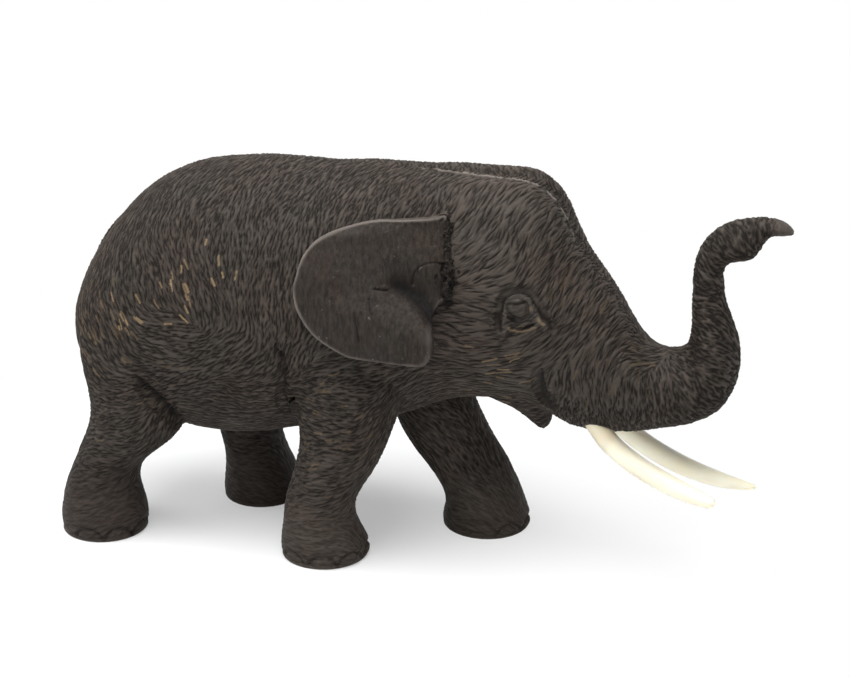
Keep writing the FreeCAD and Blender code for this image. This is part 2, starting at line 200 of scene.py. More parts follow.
def even_skin(node, voxel):
    """Points in millimetres and quads of an even skin over a CAD node. Its copy is merged and
    cut into cubes of the voxel's size, and the skin follows the surface through them."""
    mesh = frame["nodes"][node].data.copy()
    welded = bmesh.new()
    welded.from_mesh(mesh)
    bmesh.ops.remove_doubles(welded, verts=welded.verts, dist=1e-6)
    welded.to_mesh(mesh)
    welded.free()
    copy = bpy.data.objects.new("skin of " + node, mesh)
    bpy.context.scene.collection.objects.link(copy)
    remesh = copy.modifiers.new("even skin", "REMESH")
    remesh.mode = "VOXEL"
    remesh.voxel_size = voxel * MM
    graph = bpy.context.evaluated_depsgraph_get()
    skin = bpy.data.meshes.new_from_object(copy.evaluated_get(graph))
    points = np.empty(len(skin.vertices) * 3, np.float32)
    skin.vertices.foreach_get("co", points)
    quads = np.empty(len(skin.loops), np.int32)
    skin.loops.foreach_get("vertex_index", quads)
    bpy.data.objects.remove(copy)
    bpy.data.meshes.remove(mesh)
    bpy.data.meshes.remove(skin)
    return points.reshape(-1, 3).astype(float) / MM, quads.reshape(-1, 4)


def smoothed(points, quads, rounds, share=0.5):
    """Each round moves every point the given share of the way to the mean of its neighbours."""
    start = quads.ravel()
    end = np.roll(quads, -1, axis=1).ravel()
    neighbours = np.bincount(start, minlength=len(points))[:, None]
    for _ in range(rounds):
        total = np.stack([np.bincount(start, points[end, k], len(points)) for k in range(3)], 1)
        points = points + share * (total / neighbours - points)
    return points


def softened(points, quads, centre, reach, rounds):
    """Smooths only the neighbourhood of a centre, fully there and fading out to the reach."""
    weight = eased(1.5 - 1.5 * np.linalg.norm(points - centre, axis=1) / reach)
    local = quads[(weight[quads] > 0).any(axis=1)]
    used, renumbered = np.unique(local, return_inverse=True)
    smooth = points[used]
    for _ in range(rounds):
        step = smoothed(smooth, renumbered.reshape(-1, 4), 1)
        smooth = smooth + weight[used][:, None] * (step - smooth)
    points = points.copy()
    points[used] = smooth
    return points


def outward(points, quads):
    """Each point's outward direction: the sum of its quads' diagonals crossed, made one long."""
    diagonals = points[quads[:, 2]] - points[quads[:, 0]], points[quads[:, 3]] - points[quads[:, 1]]
    across = np.cross(*diagonals)
    total = np.zeros_like(points)
    for corner in range(4):
        for k in range(3):
            total[:, k] += np.bincount(quads[:, corner], across[:, k], len(points))
    return total / np.maximum(np.linalg.norm(total, axis=1, keepdims=True), 1e-12)


def eased(value):
    """Rises smoothly from 0 to 1 as the value does: three squares less two cubes."""
    value = np.clip(value, 0, 1)
    return value * value * (3 - 2 * value)


def lattice_noise(points, cell, seed):
    """Smooth noise from 0 to 1: random numbers on a grid of the cell's size, eased between corners."""
    rng = np.random.default_rng(seed)
    table = rng.random(4096)
    place = points / cell + 500.0
    base = np.floor(place).astype(np.int64)
    share = eased(place - base)
    total = np.zeros(len(points))
    for corner in range(8):
        step = np.array([corner & 1, corner >> 1 & 1, corner >> 2 & 1])
        spot = base + step
        key = (spot[:, 0] * 73856093 ^ spot[:, 1] * 19349663 ^ spot[:, 2] * 83492791) & 4095
        total += table[key] * np.where(step, share, 1 - share).prod(axis=1)
    return total


def path_distance(flat, path):
    """Distance of each side-view point from a path whose corners are cut twice, and the signed
    distance that is positive on the path's left."""
    line = np.array(path, float)
    for _ in range(2):
        inner = np.stack([0.75 * line[:-1] + 0.25 * line[1:], 0.25 * line[:-1] + 0.75 * line[1:]], 1)
        line = np.concatenate([line[:1], inner.reshape(-1, 2), line[-1:]])
    best = np.full(len(flat), 1e9)
    signed = np.zeros(len(flat))
    for near, far in zip(line[:-1], line[1:]):
        run = far - near
        along = np.clip((flat - near) @ run / (run @ run), 0, 1)
        gap = flat - near - along[:, None] * run
        distance = np.hypot(gap[:, 0], gap[:, 1])
        closer = distance < best
        best[closer] = distance[closer]
        signed[closer] = (np.sign(run[0] * gap[:, 1] - run[1] * gap[:, 0]) * distance)[closer]
    return best, signed


def bell(distance, half_width):
    """1 at no distance, falling like a bell to about a third at the half width."""
    return np.exp(-(distance / half_width) ** 2)


def neighbours_in_cubes(points, centres, reach):
    """Yields arrays of point and centre numbers that may lie within reach of each other. The
    points are sorted into cubes of that size, and each centre looks in its own and the 26 round it."""
    low = points.min(axis=0) - 2 * reach
    cube = ((points - low) / reach).astype(np.int64)
    home = ((centres - low) / reach).astype(np.int64)
    row, layer = 1 << 10, 1 << 20
    key = cube[:, 0] * layer + cube[:, 1] * row + cube[:, 2]
    order = np.argsort(key, kind="stable")
    key = key[order]
    for shift in range(27):
        spot = home + np.array([shift // 9 - 1, shift // 3 % 3 - 1, shift % 3 - 1])
        wanted = spot[:, 0] * layer + spot[:, 1] * row + spot[:, 2]
        first = np.searchsorted(key, wanted, "left")
        count = np.searchsorted(key, wanted, "right") - first
        who = np.repeat(np.arange(len(centres)), count)
        begin = np.cumsum(count) - count
        inside = np.arange(count.sum()) - np.repeat(begin, count)
        yield order[np.repeat(first, count) + inside], who


def mesh_object(name, points, faces, body, nodes, normals=None, attributes=None):
    """Puts arrays in millimetres into a smooth mesh object that rides on a body for some CAD nodes.
    No point is left outside the frame's own box."""
    points = np.clip(points, np.array(CAD_BOX[0]) / MM, np.array(CAD_BOX[1]) / MM)
    mesh = bpy.data.meshes.new(name)
    mesh.vertices.add(len(points))
    mesh.vertices.foreach_set("co", (points * MM).astype(np.float32).ravel())
    corners = np.concatenate([block.ravel() for block in faces]).astype(np.int32)
    sizes = np.concatenate([np.full(len(block), block.shape[1]) for block in faces])
    mesh.loops.add(len(corners))
    mesh.loops.foreach_set("vertex_index", corners)
    mesh.polygons.add(len(sizes))
    mesh.polygons.foreach_set("loop_start", (np.cumsum(sizes) - sizes).astype(np.int32))
    mesh.update(calc_edges=True)
    mesh.polygons.foreach_set("use_smooth", np.ones(len(sizes), bool))
    for key, values in (attributes or {}).items():
        mesh.attributes.new(key, "FLOAT", "POINT").data.foreach_set("value", values.astype(np.float32))
    if normals is not None:
        mesh.normals_split_custom_set_from_vertices(normals.tolist())
    piece = bpy.data.objects.new(name, mesh)
    bpy.context.scene.collection.objects.link(piece)
    if body:
        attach(piece, body)
        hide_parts(*nodes)
    return piece


# ---------------------------------------------------------------------------
# Materials
# ---------------------------------------------------------------------------


class Nodes:
    """A short way to write a material's nodes: each call adds one and links what it is given."""

    def __init__(self, name):
        self.material = bpy.data.materials.new(name)
        self.material.use_nodes = True
        self.tree = self.material.node_tree
        self.shader = self.tree.nodes["Principled BSDF"]
        self.place = self.add("ShaderNodeTexCoord").outputs["Object"]

    def add(self, kind, **settings):
        """A node of a kind, with its settings."""
        node = self.tree.nodes.new(kind)
        for key, value in settings.items():
            setattr(node, key, value)
        return node

    def feed(self, socket, value):
        """Links a socket, or gives it a value."""
        if isinstance(value, bpy.types.NodeSocket):
            self.tree.links.new(value, socket)
        else:
            socket.default_value = value

    def attribute(self, name):
        """A share that each point of the mesh carries."""
        return self.add("ShaderNodeAttribute", attribute_name=name).outputs["Fac"]

    def math(self, operation, first, second):
        """A sum of two values, kept between 0 and 1."""
        node = self.add("ShaderNodeMath", operation=operation, use_clamp=True)
        self.feed(node.inputs[0], first)
        self.feed(node.inputs[1], second)
        return node.outputs[0]

    def noise(self, scale, stretch=(1, 1, 1), detail=3.0, roughness=0.55):
        """Noise over the piece, finer with the scale and along each axis with the stretch."""
        mapping = self.add("ShaderNodeMapping")
        mapping.inputs["Scale"].default_value = stretch
        self.feed(mapping.inputs["Vector"], self.place)
        node = self.add("ShaderNodeTexNoise")
        self.feed(node.inputs["Vector"], mapping.outputs[0])
        node.inputs["Scale"].default_value = scale
        node.inputs["Detail"].default_value = detail
        node.inputs["Roughness"].default_value = roughness
        return node.outputs["Fac"]

    def span(self, value, low, high, to_low=0.0, to_high=1.0):
        """A value carried over from one range to another, and kept in it."""
        node = self.add("ShaderNodeMapRange")
        for place, given in enumerate((value, low, high, to_low, to_high)):
            self.feed(node.inputs[place], given)
        return node.outputs[0]

    def mix(self, share, first, second):
        """Two colours mixed by a share."""
        node = self.add("ShaderNodeMix", data_type="RGBA")
        self.feed(node.inputs[0], share)
        self.feed(node.inputs[6], first)
        self.feed(node.inputs[7], second)
        return node.outputs[2]

    def bump(self, height, distance, strength=1.0, under=None):
        """Bumps of a height in millimetres, over those under them."""
        node = self.add("ShaderNodeBump")
        node.inputs["Distance"].default_value = distance * MM
        node.inputs["Strength"].default_value = strength
        self.feed(node.inputs["Height"], height)
        if under:
            self.feed(node.inputs["Normal"], under)
        return node.outputs[0]

    def finish(self, **sockets):
        """Feeds the shader and gives the material."""
        for name, value in sockets.items():
            self.feed(self.shader.inputs[name.replace("_", " ")], value)
        return self.material


def rgba(colour):
    """A picked colour, as a colour picker shows it, in the shader's linear light."""
    return tuple(c / 12.92 if c <= 0.04045 else ((c + 0.055) / 1.055) ** 2.4 for c in colour) + (1.0,)


def gouged_wood(look):
    """Stained wood: painted shade in the cuts and folds, greyer on the ridges, pale where rubbed
    and with painted highlights, ochre where the stain has rubbed away.
    """
    n = Nodes("gouged dark wood")
    patches = n.span(n.noise(45.0, detail=2.0), 0.35, 0.68)
    fibres = n.span(n.noise(700.0, (0.16, 1, 1), 4.0, 0.7), 0.3, 0.7)
    specks = n.span(n.noise(1500.0, (0.5, 1, 1), 3.0, 0.6), 0.62, 0.78)
    ridge = n.mix(patches, rgba(look.ridge_grey), rgba(look.ridge_red))
    ridge = n.mix(n.math("MULTIPLY", fibres, 0.35), ridge, rgba(look.fibre))
    # the cuts darken with their depth towards the groove colour: painted shade
    depth = n.span(n.attribute("cut"), 0.1, 0.85)
    wood = n.mix(depth, ridge, rgba(look.groove))
    wood = n.mix(n.math("MULTIPLY", specks, 0.3), wood, rgba(look.fibre))
    # the pale share: rubbed lids, and painted highlights along the crown's ridge and on the trunk's finger
    wood = n.mix(n.attribute("wear_and_highlight"), wood, rgba(look.wear_and_highlight))
    wood = n.mix(n.attribute("bare"), wood, rgba(look.bare))
    # the dark share: painted shade in folds, cuts and round the eyes and nails, black crumbs of filler by
    # the ears' seams, and darker hind legs
    wood = n.mix(n.attribute("shade_and_crumbs"), wood, rgba(look.shade_and_crumbs))
    rough = n.span(depth, 0.0, 1.0, 0.52, 0.8)
    grain = n.bump(fibres, 0.08, 0.8)
    grain = n.bump(n.noise(2600.0, (0.45, 1, 1), 2.0), 0.05, 0.7, grain)
    return n.finish(Base_Color=wood, Roughness=rough, Normal=grain, Specular_IOR_Level=0.1)


def ear_wood(look):
    """The same stain on scraped wood: mottled, with fine upright grain, pale flecks, rubbed rims with
    painted highlights on top, and painted shade at the step and in the cuts.
    """
    n = Nodes("scraped ear wood")
    patches = n.span(n.noise(110.0, detail=3.0), 0.38, 0.64)
    mottle = n.span(n.noise(640.0, (1, 1, 0.45), 4.0, 0.7), 0.35, 0.65)
    grain = n.span(n.noise(1100.0, (1, 1, 0.25), 4.0, 0.7), 0.35, 0.7)
    wood = n.mix(patches, rgba(look.ear), rgba(look.ear_red))
    wood = n.mix(n.math("MULTIPLY", mottle, 0.75), wood, rgba(look.groove))
    wood = n.mix(n.math("MULTIPLY", grain, 0.35), wood, rgba(look.fibre))
    flecks = n.span(n.noise(620.0, detail=1.0), 0.73, 0.8)
    wood = n.mix(n.math("MULTIPLY", flecks, 0.45), wood, rgba(look.wear_and_highlight))
    # the pale share: rubbed rims, and painted highlights on the rims that face up
    wood = n.mix(n.attribute("wear_and_highlight"), wood, rgba(look.wear_and_highlight))
    # the dark share: painted shade beside the lobe's step and in the cuts, and black crumbs of filler
    wood = n.mix(n.attribute("shade_and_crumbs"), wood, rgba(look.shade_and_crumbs))
    bump = n.bump(grain, 0.1, 0.9)
    bump = n.bump(mottle, 0.16, 0.8, bump)
    rough = n.span(mottle, 0.0, 1.0, 0.5, 0.68)
    return n.finish(Base_Color=wood, Roughness=rough, Normal=bump, Specular_IOR_Level=0.1)


def seam_filler(look):
    """Paste of glue and wood dust, stained over with the wood, and black where it has crumbled."""
    n = Nodes("seam filler")
    crumbs = n.span(n.noise(480.0, detail=5.0, roughness=0.75), 0.42, 0.58)
    dust = n.span(n.noise(1500.0, detail=3.0, roughness=0.7), 0.35, 0.7)
    paste = n.mix(dust, rgba(look.ridge_grey), rgba(look.groove))
    # here the dark share is only where the paste has crumbled, with no shade in it
    paste = n.mix(n.math("MULTIPLY", crumbs, n.attribute("shade_and_crumbs")), paste, rgba(look.shade_and_crumbs))
    rough = n.span(crumbs, 0.0, 1.0, 0.6, 0.85)
    bump = n.bump(dust, 0.15, 0.8)
    return n.finish(Base_Color=paste, Roughness=rough, Normal=n.bump(crumbs, 0.4, 1.0, bump),
                    Specular_IOR_Level=0.08)


def tusk_cream(look):
    """Polished cream with faint lengthwise clouding, an ochre stain along the top, and painted shade
    towards the socket.
    """
    n = Nodes("cream tusk")
    cloud = n.span(n.noise(160.0, (0.35, 1, 1), 3.0), 0.35, 0.7)
    cream = n.mix(cloud, rgba(look.cream), rgba(look.cream_shade))
    # ochre stain along the top, and painted shade near the socket
    cream = n.mix(n.attribute("tan"), cream, rgba(look.tan))
    rough = n.span(cloud, 0.0, 1.0, 0.32, 0.45)
    bump = n.bump(n.noise(500.0, (0.2, 1, 1), 2.0), 0.03, 0.4)
    n.finish(Base_Color=cream, Roughness=rough, Normal=bump, Subsurface_Weight=0.25)
    n.shader.inputs["Subsurface Radius"].default_value = (1.0, 0.7, 0.4)
    return n.finish(Subsurface_Scale=1.2 * MM)


# ---------------------------------------------------------------------------
# The carved body
# ---------------------------------------------------------------------------


def side_weight(points, normals, side):
    """1 on flanks that face the given side, fading out on surfaces that face up, down or along."""
    facing = np.abs(normals[:, 1]) if side == BOTH else side * normals[:, 1]
    there = np.ones(len(points)) if side == BOTH else side * points[:, 1] > 0
    return eased((facing - 0.15) / 0.3) * there


class Marks:
    """What the knife, the stain and painted light do to each point of the skin: how far it moves
    outwards in millimetres, and its shares of painted shade with filler crumbs, of rubbed ridge
    with painted highlight, and of bare wood."""

    def __init__(self, points, normals, carving):
        self.points = points
        self.normals = normals
        noise = [lattice_noise(points, WANDER_CELL, seed) for seed in (11, 12)]
        self.wander = np.stack(noise, 1) - 0.5
        self.flat = points[:, [0, 2]] + carving.wander * self.wander
        self.flank = side_weight(points, normals, BOTH)
        self.height = np.zeros(len(points))
        self.shade_and_crumbs = np.zeros(len(points))
        self.wear_and_highlight = np.zeros(len(points))
        self.bare = np.zeros(len(points))


def carve_eyes(marks):
    """A shallow dish, a low eyeball whose top the lid covers, painted shade round the eyeball and
    under the lid's edge, the lid's ridge and the brow's, and pale breaks in the lids."""
    flat, flank = marks.flat, marks.flank
    from_eye = np.hypot(*(flat - EYE).T)
    marks.height -= 0.35 * flank * bell(from_eye, EYE_DISH)
    above = flat[:, 1] - EYE[1] - LID_RISE
    open_part = eased(-above / 0.6)
    ball = np.sqrt(np.clip(1 - (from_eye / EYEBALL_REACH) ** 2, 0, 1))
    marks.height += 0.5 * flank * open_part * ball
    # painted shade in a ring round the eyeball
    marks.shade_and_crumbs += 0.6 * flank * bell(from_eye - EYEBALL_REACH - 0.4, 0.5) * open_part
    marks.height += 0.8 * flank * eased(above / 0.7) * bell(from_eye, 4.0)
    # painted shade under the lid's edge
    marks.shade_and_crumbs += 0.7 * flank * bell(above, 0.35) * (np.abs(flat[:, 0] - EYE[0]) < 3)
    pupil = np.hypot(flat[:, 0] - EYE[0] + 0.6, flat[:, 1] - EYE[1] - 0.6)
    marks.height -= 0.3 * flank * bell(pupil, 0.55)

    lid = path_distance(flat, LID_RIDGE)[0]
    marks.height += 0.4 * flank * bell(lid, 0.95)
    marks.wear_and_highlight += 0.12 * flank * bell(lid, 0.8)
    hood = path_distance(flat, BROW_LINE)[0]
    marks.height += 0.35 * flank * bell(hood - 1.5, 0.6)
    lower = path_distance(flat, LOWER_LIDS[1])[0]
    marks.bare += 0.4 * flank * bell(lower - 0.8, 0.3) * (flat[:, 1] < 80.6)
    broken = eased((lattice_noise(marks.points, 1.2, 15) - 0.4) / 0.2)
    marks.bare += 0.45 * flank * bell(lid, 0.35) * (flat[:, 0] > EYE[0] + 2) * broken


def cut_folds(marks):
    """The cut lines: each is a groove with a bell-shaped section, with painted shade along its bottom."""
    for side, depth, half_width, path in CUTS:
        distance = path_distance(marks.flat, path)[0]
        facing = side_weight(marks.points, marks.normals, side)
        marks.height -= depth * facing * bell(distance, half_width)
        # painted shade along the groove's bottom
        marks.shade_and_crumbs += 0.85 * facing * bell(distance, 0.65 * half_width)


def cut_toenails(marks):
    """A half-moon cut over each nail, which stands a little proud, with painted shade in the cut."""
    points = marks.points
    for x, y, bearings in FEET.values():
        reach = np.hypot(points[:, 0] - x, points[:, 1] - y)
        low = (points[:, 2] < 9) & (reach < 19) & (np.abs(marks.normals[:, 2]) < 0.8)
        for bearing in bearings:
            turn = np.arctan2(points[:, 1] - y, points[:, 0] - x) - math.radians(bearing)
            turn = (turn + math.pi) % (2 * math.pi) - math.pi
            moon = np.hypot(turn * reach / NAIL_HALF_WIDTH, points[:, 2] / NAIL_HEIGHT)
            rim = (moon - 1) * 4.5
            marks.height -= 0.6 * low * bell(rim, 0.6)
            # painted shade in the half-moon cut
            marks.shade_and_crumbs += 0.35 * low * bell(rim, 0.5)
            marks.height += 0.25 * low * eased((0.9 - moon) / 0.4) * (points[:, 2] > 0.4)


def shape_crown(marks):
    """The crown, a little fuller than the frame, with one broken ridge along it that carries a broken
    painted highlight.
    """
    x, y, z = marks.points.T
    marks.height += 0.7 * bell(x - 20, 22) * bell(y, 14) * eased((z - 100) / 10)
    ridge = bell(y + 0.2 + 0.083 * x + 0.8 * marks.wander[:, 0], 0.55)
    ridge *= eased((x + 4) / 10) * eased((52 - x) / 6) * (z > 96)
    marks.height += 0.4 * ridge
    # a painted highlight along the ridge, broken into dashes
    marks.wear_and_highlight += ridge * eased((lattice_noise(marks.points, 1.3, 5) - 0.3) / 0.25)


def shape_lip_and_seams(marks):
    """A fuller lip, a painted highlight on the trunk's finger, and crumbs of filler on the wood beside the
    ears' seams.
    """
    marks.height += 0.9 * bell(np.linalg.norm(marks.points - LIP, axis=1), 2.6)
    # painted highlight on the trunk's finger
    marks.wear_and_highlight += 0.1 * eased((marks.points[:, 0] - 105) / 5) * (marks.points[:, 2] > FINGER_LOW)
    crumbs = seam_crumbs(marks.points)
    marks.height -= 0.35 * crumbs
    marks.shade_and_crumbs += 0.8 * crumbs


def darken_hindquarters(marks):
    """The hind legs are darker towards the feet, and painted shade lies along the corners beside the tail.
    """
    x, y, z = marks.points.T
    # the hind legs darker towards the feet
    marks.shade_and_crumbs += 0.3 * eased((38 - z) / 20) * (x < -42)
    # painted shade along the corners beside the tail
    behind = eased((-marks.normals[:, 0] - 0.3) / 0.3) * (x < -80)
    beside = bell(np.abs(y) - TAIL_HALF_WIDTH, 0.6)
    marks.shade_and_crumbs += 0.5 * behind * beside * eased((z - 48) / 5) * eased((97 - z) / 6)


def carved_marks(points, normals, carving):
    """All the large forms: eyes, folds, toenails, crown, lip, seams, and the darker hindquarters with
    painted shade beside the tail.
    """
    marks = Marks(points, normals, carving)
    for work in (carve_eyes, cut_folds, cut_toenails, shape_crown, shape_lip_and_seams,
                 darken_hindquarters):
        work(marks)
    return marks


def seam_crumbs(points):
    """1 on the dark crumbs scattered along an ear's seam, thickest in its lower half."""
    near = bell(path_distance(points[:, [0, 2]], EAR_SEAM)[0], 2.4) * (np.abs(points[:, 1]) > 14)
    grain = 0.65 * lattice_noise(points, 1.5, 13) + 0.35 * lattice_noise(points, 0.8, 14)
    thick = 0.58 + 0.14 * eased((points[:, 2] - 97) / 5)
    return eased((near * 0.35 + grain - thick - 0.17) / 0.1) * (near > 0.1)


def stroke_slopes(centres):
    """The slope of the strokes at each centre: the mean of the combing table, weighted by the
    fourth power of nearness. Slopes are doubled first, because a stroke has no front or back."""
    side, x, z, degrees = np.array(COMBING, float).T
    gap = (centres[:, None, 0] - x) ** 2 + (centres[:, None, 2] - z) ** 2
    weight = 1 / (gap + 6.0) ** 2
    weight *= (side == BOTH) | (np.sign(centres[:, None, 1]) == side)
    double = 2 * np.radians(degrees)
    return np.arctan2(weight @ np.sin(double), weight @ np.cos(double)) / 2


def stroke_style(centres):
    """How much longer, wider, sparser and deeper strokes are at each centre than on the flanks:
    long thin cuts between smooth lands on the head, wider ones on the trunk, faint ones on the feet."""
    x, y, z = centres.T
    head = eased((x - 10) / 10) * eased((z - 52) / 8) * eased((76 - x) / 12)
    head *= eased((np.abs(y) - 2) / 5)
    leg = eased((46 - z) / 14) * (x < 40)
    crown = head * eased((z - 84) / 8)
    foot = eased((24 - z) / 12)
    longer = 1 + 0.4 * head + 0.1 * leg
    wider = 1 - 0.1 * head + 0.25 * eased((x - 78) / 5)
    sparser = 1 + 0.4 * head + 0.45 * crown
    deeper = wider * (1 - 0.15 * leg) * (1 - 0.35 * foot)
    return longer, wider, sparser, deeper


def scattered_centres(points, keep_out, carving, rng):
    """One point in each cube of the stroke spacing, fewer where strokes are large or sparse.
    Returns the points' numbers and how much longer, wider and deeper each one's stroke is."""
    shuffled = rng.permutation(len(points))
    cell = np.floor(points[shuffled] / carving.stroke_spacing).astype(np.int64) + 400
    key = (cell[:, 0] * 1024 + cell[:, 1]) * 1024 + cell[:, 2]
    chosen = shuffled[np.unique(key, return_index=True)[1]]
    chosen = chosen[keep_out[chosen] < 0.8]
    longer, wider, sparser, deeper = stroke_style(points[chosen])
    kept = rng.random(len(chosen)) < 1 / (longer * wider * sparser)
    return chosen[kept], longer[kept], wider[kept], deeper[kept]


def stroke_axes(centres, facing, wider, carving, rng):
    """The directions along and across each stroke, in the plane of the skin. The slope is the
    combed one, plus a slow sway and the stroke's own scatter."""
    ahead = np.array([1.0, 0, 0]) - facing[:, :1] * facing
    ahead /= np.maximum(np.linalg.norm(ahead, axis=1, keepdims=True), 1e-6)
    rise = np.cross(facing, ahead) * np.where(centres[:, 1:2] < 0, 1, -1)
    sway = carving.stroke_sway * (lattice_noise(centres, 8.0, 2) - 0.5)
    scatter = rng.normal(0, carving.stroke_scatter, len(centres))
    slope = stroke_slopes(centres) + (sway + scatter) * wider
    along = np.cos(slope)[:, None] * ahead + np.sin(slope)[:, None] * rise
    return along, np.cross(facing, along)


def bare_strokes(centres, rng):
    """How bare each stroke is: some of those near a worn patch, the more often the nearer."""
    chance = rng.random(len(centres))
    bare = np.zeros(len(centres))
    for x, z, reach, often, strength in BARE_PATCHES:
        there = chance < often * bell(np.hypot(centres[:, 0] - x, centres[:, 2] - z), reach)
        bare = np.where(there, strength * rng.uniform(0.5, 1, len(centres)), bare)
    return bare


def gouge_strokes(points, normals, keep_out, carving):
    """Overlapping gouge strokes. Each is a small boat-shaped cut, longer than wide, laid along
    the local slope: its depth falls with the square of the distance from its middle, and with
    a lower power of the distance from its middle line, which leaves a crisp bottom. Where strokes
    overlap the deeper one counts, which leaves ridges between them. Returns each point's depth in
    millimetres, its depth as a share of the local stroke's, and its share of bare wood."""
    rng = np.random.default_rng(carving.seed)
    chosen, longer, wider, deeper = scattered_centres(points, keep_out, carving, rng)
    centres, facing = points[chosen], normals[chosen]
    amount = len(chosen)
    along, side = stroke_axes(centres, facing, wider, carving, rng)
    half_long = 0.5 * carving.stroke_length * longer * rng.uniform(0.6, 1.4, amount)
    half_wide = 0.5 * carving.stroke_width * wider * rng.uniform(0.75, 1.3, amount)
    depth = carving.stroke_depth * deeper * rng.uniform(0.45, 1.3, amount)
    curl = rng.normal(0, 0.04, amount)
    bare_stroke = bare_strokes(centres, rng)

    cut = np.zeros(len(points))
    share = np.zeros(len(points))
    bare = np.zeros(len(points))
    reach = float((half_long.max() ** 2 + half_wide.max() ** 2) ** 0.5)
    for point, stroke in neighbours_in_cubes(points, centres, reach):
        offset = points[point] - centres[stroke]
        u = np.einsum("ij,ij->i", offset, along[stroke]) / half_long[stroke]
        near = np.abs(u) < 1
        point, stroke, offset, u = point[near], stroke[near], offset[near], u[near]
        bow = curl[stroke] * (u * half_long[stroke]) ** 2
        v = (np.einsum("ij,ij->i", offset, side[stroke]) - bow) / half_wide[stroke]
        same = np.einsum("ij,ij->i", normals[point], facing[stroke]) > 0.35
        hit = (np.abs(v) < 1) & same
        point, stroke, u, v = point[hit], stroke[hit], u[hit], np.abs(v[hit])
        form = (1 - u * u) * (1 - v ** 1.5)
        np.maximum.at(cut, point, depth[stroke] * form)
        np.maximum.at(share, point, form * np.minimum(1, depth[stroke] / carving.stroke_depth))
        pale = bare_stroke[stroke] * eased((0.8 - v) * 2) * eased((1 - u * u) * 3 - 1)
        np.maximum.at(bare, point, pale)
    free = 1 - keep_out
    return cut * free, share * free, bare * free


def loop_labels(start, end, amount):
    """Tells the loops of some directed edges apart: the lowest point number of each loop spreads
    along its edges to all its points."""
    label = np.arange(amount)
    spreading = True
    while spreading:
        before = label[start]
        lowest = np.minimum(before, label[end])
        np.minimum.at(label, start, lowest)
        np.minimum.at(label, end, lowest)
        spreading = (label[start] != before).any()
    return label


def closed_block(inside, block_of, quads, points, normals):
    """One block of the skin, shut where it meets its neighbours: every loop of edges shared with
    other blocks gets a collar that goes straight in, then a fan of triangles to its middle, which
    at the tops of the legs is lifted into the belly. Returns the numbers of the points used, the
    points and normals, the quads and the fans' triangles."""
    own = quads[block_of == inside]
    start = quads.ravel()
    end = np.roll(quads, -1, axis=1).ravel()
    owner = np.repeat(block_of, 4)
    forward = start.astype(np.int64) * len(points) + end
    backward = end.astype(np.int64) * len(points) + start
    order = np.argsort(forward)
    other = owner[order[np.searchsorted(forward[order], backward)]]
    rim = np.flatnonzero((owner == inside) & (other != inside))
    label = loop_labels(start[rim], end[rim], len(points))
    ring = np.unique(start[rim])
    below = np.zeros(len(points), np.int64)
    below[ring] = len(points) + np.arange(len(ring))
    collar = np.stack([end[rim], start[rim], below[start[rim]], below[end[rim]]], 1)
    own = np.concatenate([own, collar])
    extra = list(points[ring] - RIM_INSET * normals[ring])
    fans = []
    for loop in np.unique(label[start[rim]]):
        edges = rim[label[start[rim]] == loop]
        apex = np.full(len(edges), len(points) + len(extra))
        fans.append(np.stack([below[end[edges]], below[start[edges]], apex], 1))
        middle = (points[start[edges]] - APEX_DEPTH * normals[start[edges]]).mean(axis=0)
        if abs(middle[2] - LEG_TOP) < 1.5:
            middle[2] += LEG_LID
        extra.append(middle)
    fans = np.concatenate(fans)
    used = np.unique(np.concatenate([own.ravel(), fans.ravel()]))
    renumber = np.zeros(len(points) + len(extra), np.int64)
    renumber[used] = np.arange(len(used))
    every = np.concatenate([points, np.array(extra)])
    upright = np.tile([0.0, 0.0, 1.0], (len(extra) - len(ring), 1))
    every_normal = np.concatenate([normals, normals[ring], upright])
    return used, every[used], every_normal[used], renumber[own], renumber[fans]


def pocket_weight(points):
    """1 inside the ears' pockets and the tusks' sockets, where no tool mark shows: nearer than
    POCKET_REACH to the frame's ears and tusks."""
    weight = np.zeros(len(points))
    for node in ("right_ear", "left_ear", "right_tusk", "left_tusk"):
        skin = even_skin(node, POCKET_SKIN_SIZE)[0]
        for point, other in neighbours_in_cubes(points, skin, POCKET_SEARCH):
            close = np.linalg.norm(points[point] - skin[other], axis=1) < POCKET_REACH
            weight[point[close]] = 1
    return weight


def eye_and_tip(points):
    """1 where the knife left smooth wood: the eyeball and lids, the mouth's corner, and the finger
    at the trunk's tip."""
    flat = points[:, [0, 2]]
    eye = 0.4 * eased((4.8 - np.hypot(*(flat - EYE).T)) / 1.2)
    eye = np.maximum(eye, 0.65 * bell(path_distance(flat, BROW_LINE)[0], 0.8)) * (np.abs(points[:, 1]) > 12)
    eye = np.maximum(eye, 0.7 * bell(path_distance(flat, MOUTH_CORNER)[0], 1.3))
    tip = 0.7 * eased((points[:, 0] - 103) / 4) * (points[:, 2] > FINGER_LOW)
    return np.maximum(eye, tip)


def rubbed_skin(carving):
    """The body's even skin, with the joins between its parts softened and some corners rubbed."""
    points, quads = even_skin("carved_body", carving.skin_size)
    points = smoothed(points, quads, carving.smooth_rounds)
    for x, y, z, reach in ROUNDED_SPOTS:
        points = softened(points, quads, (x, y, z), reach, carving.rounding)
    return points, quads


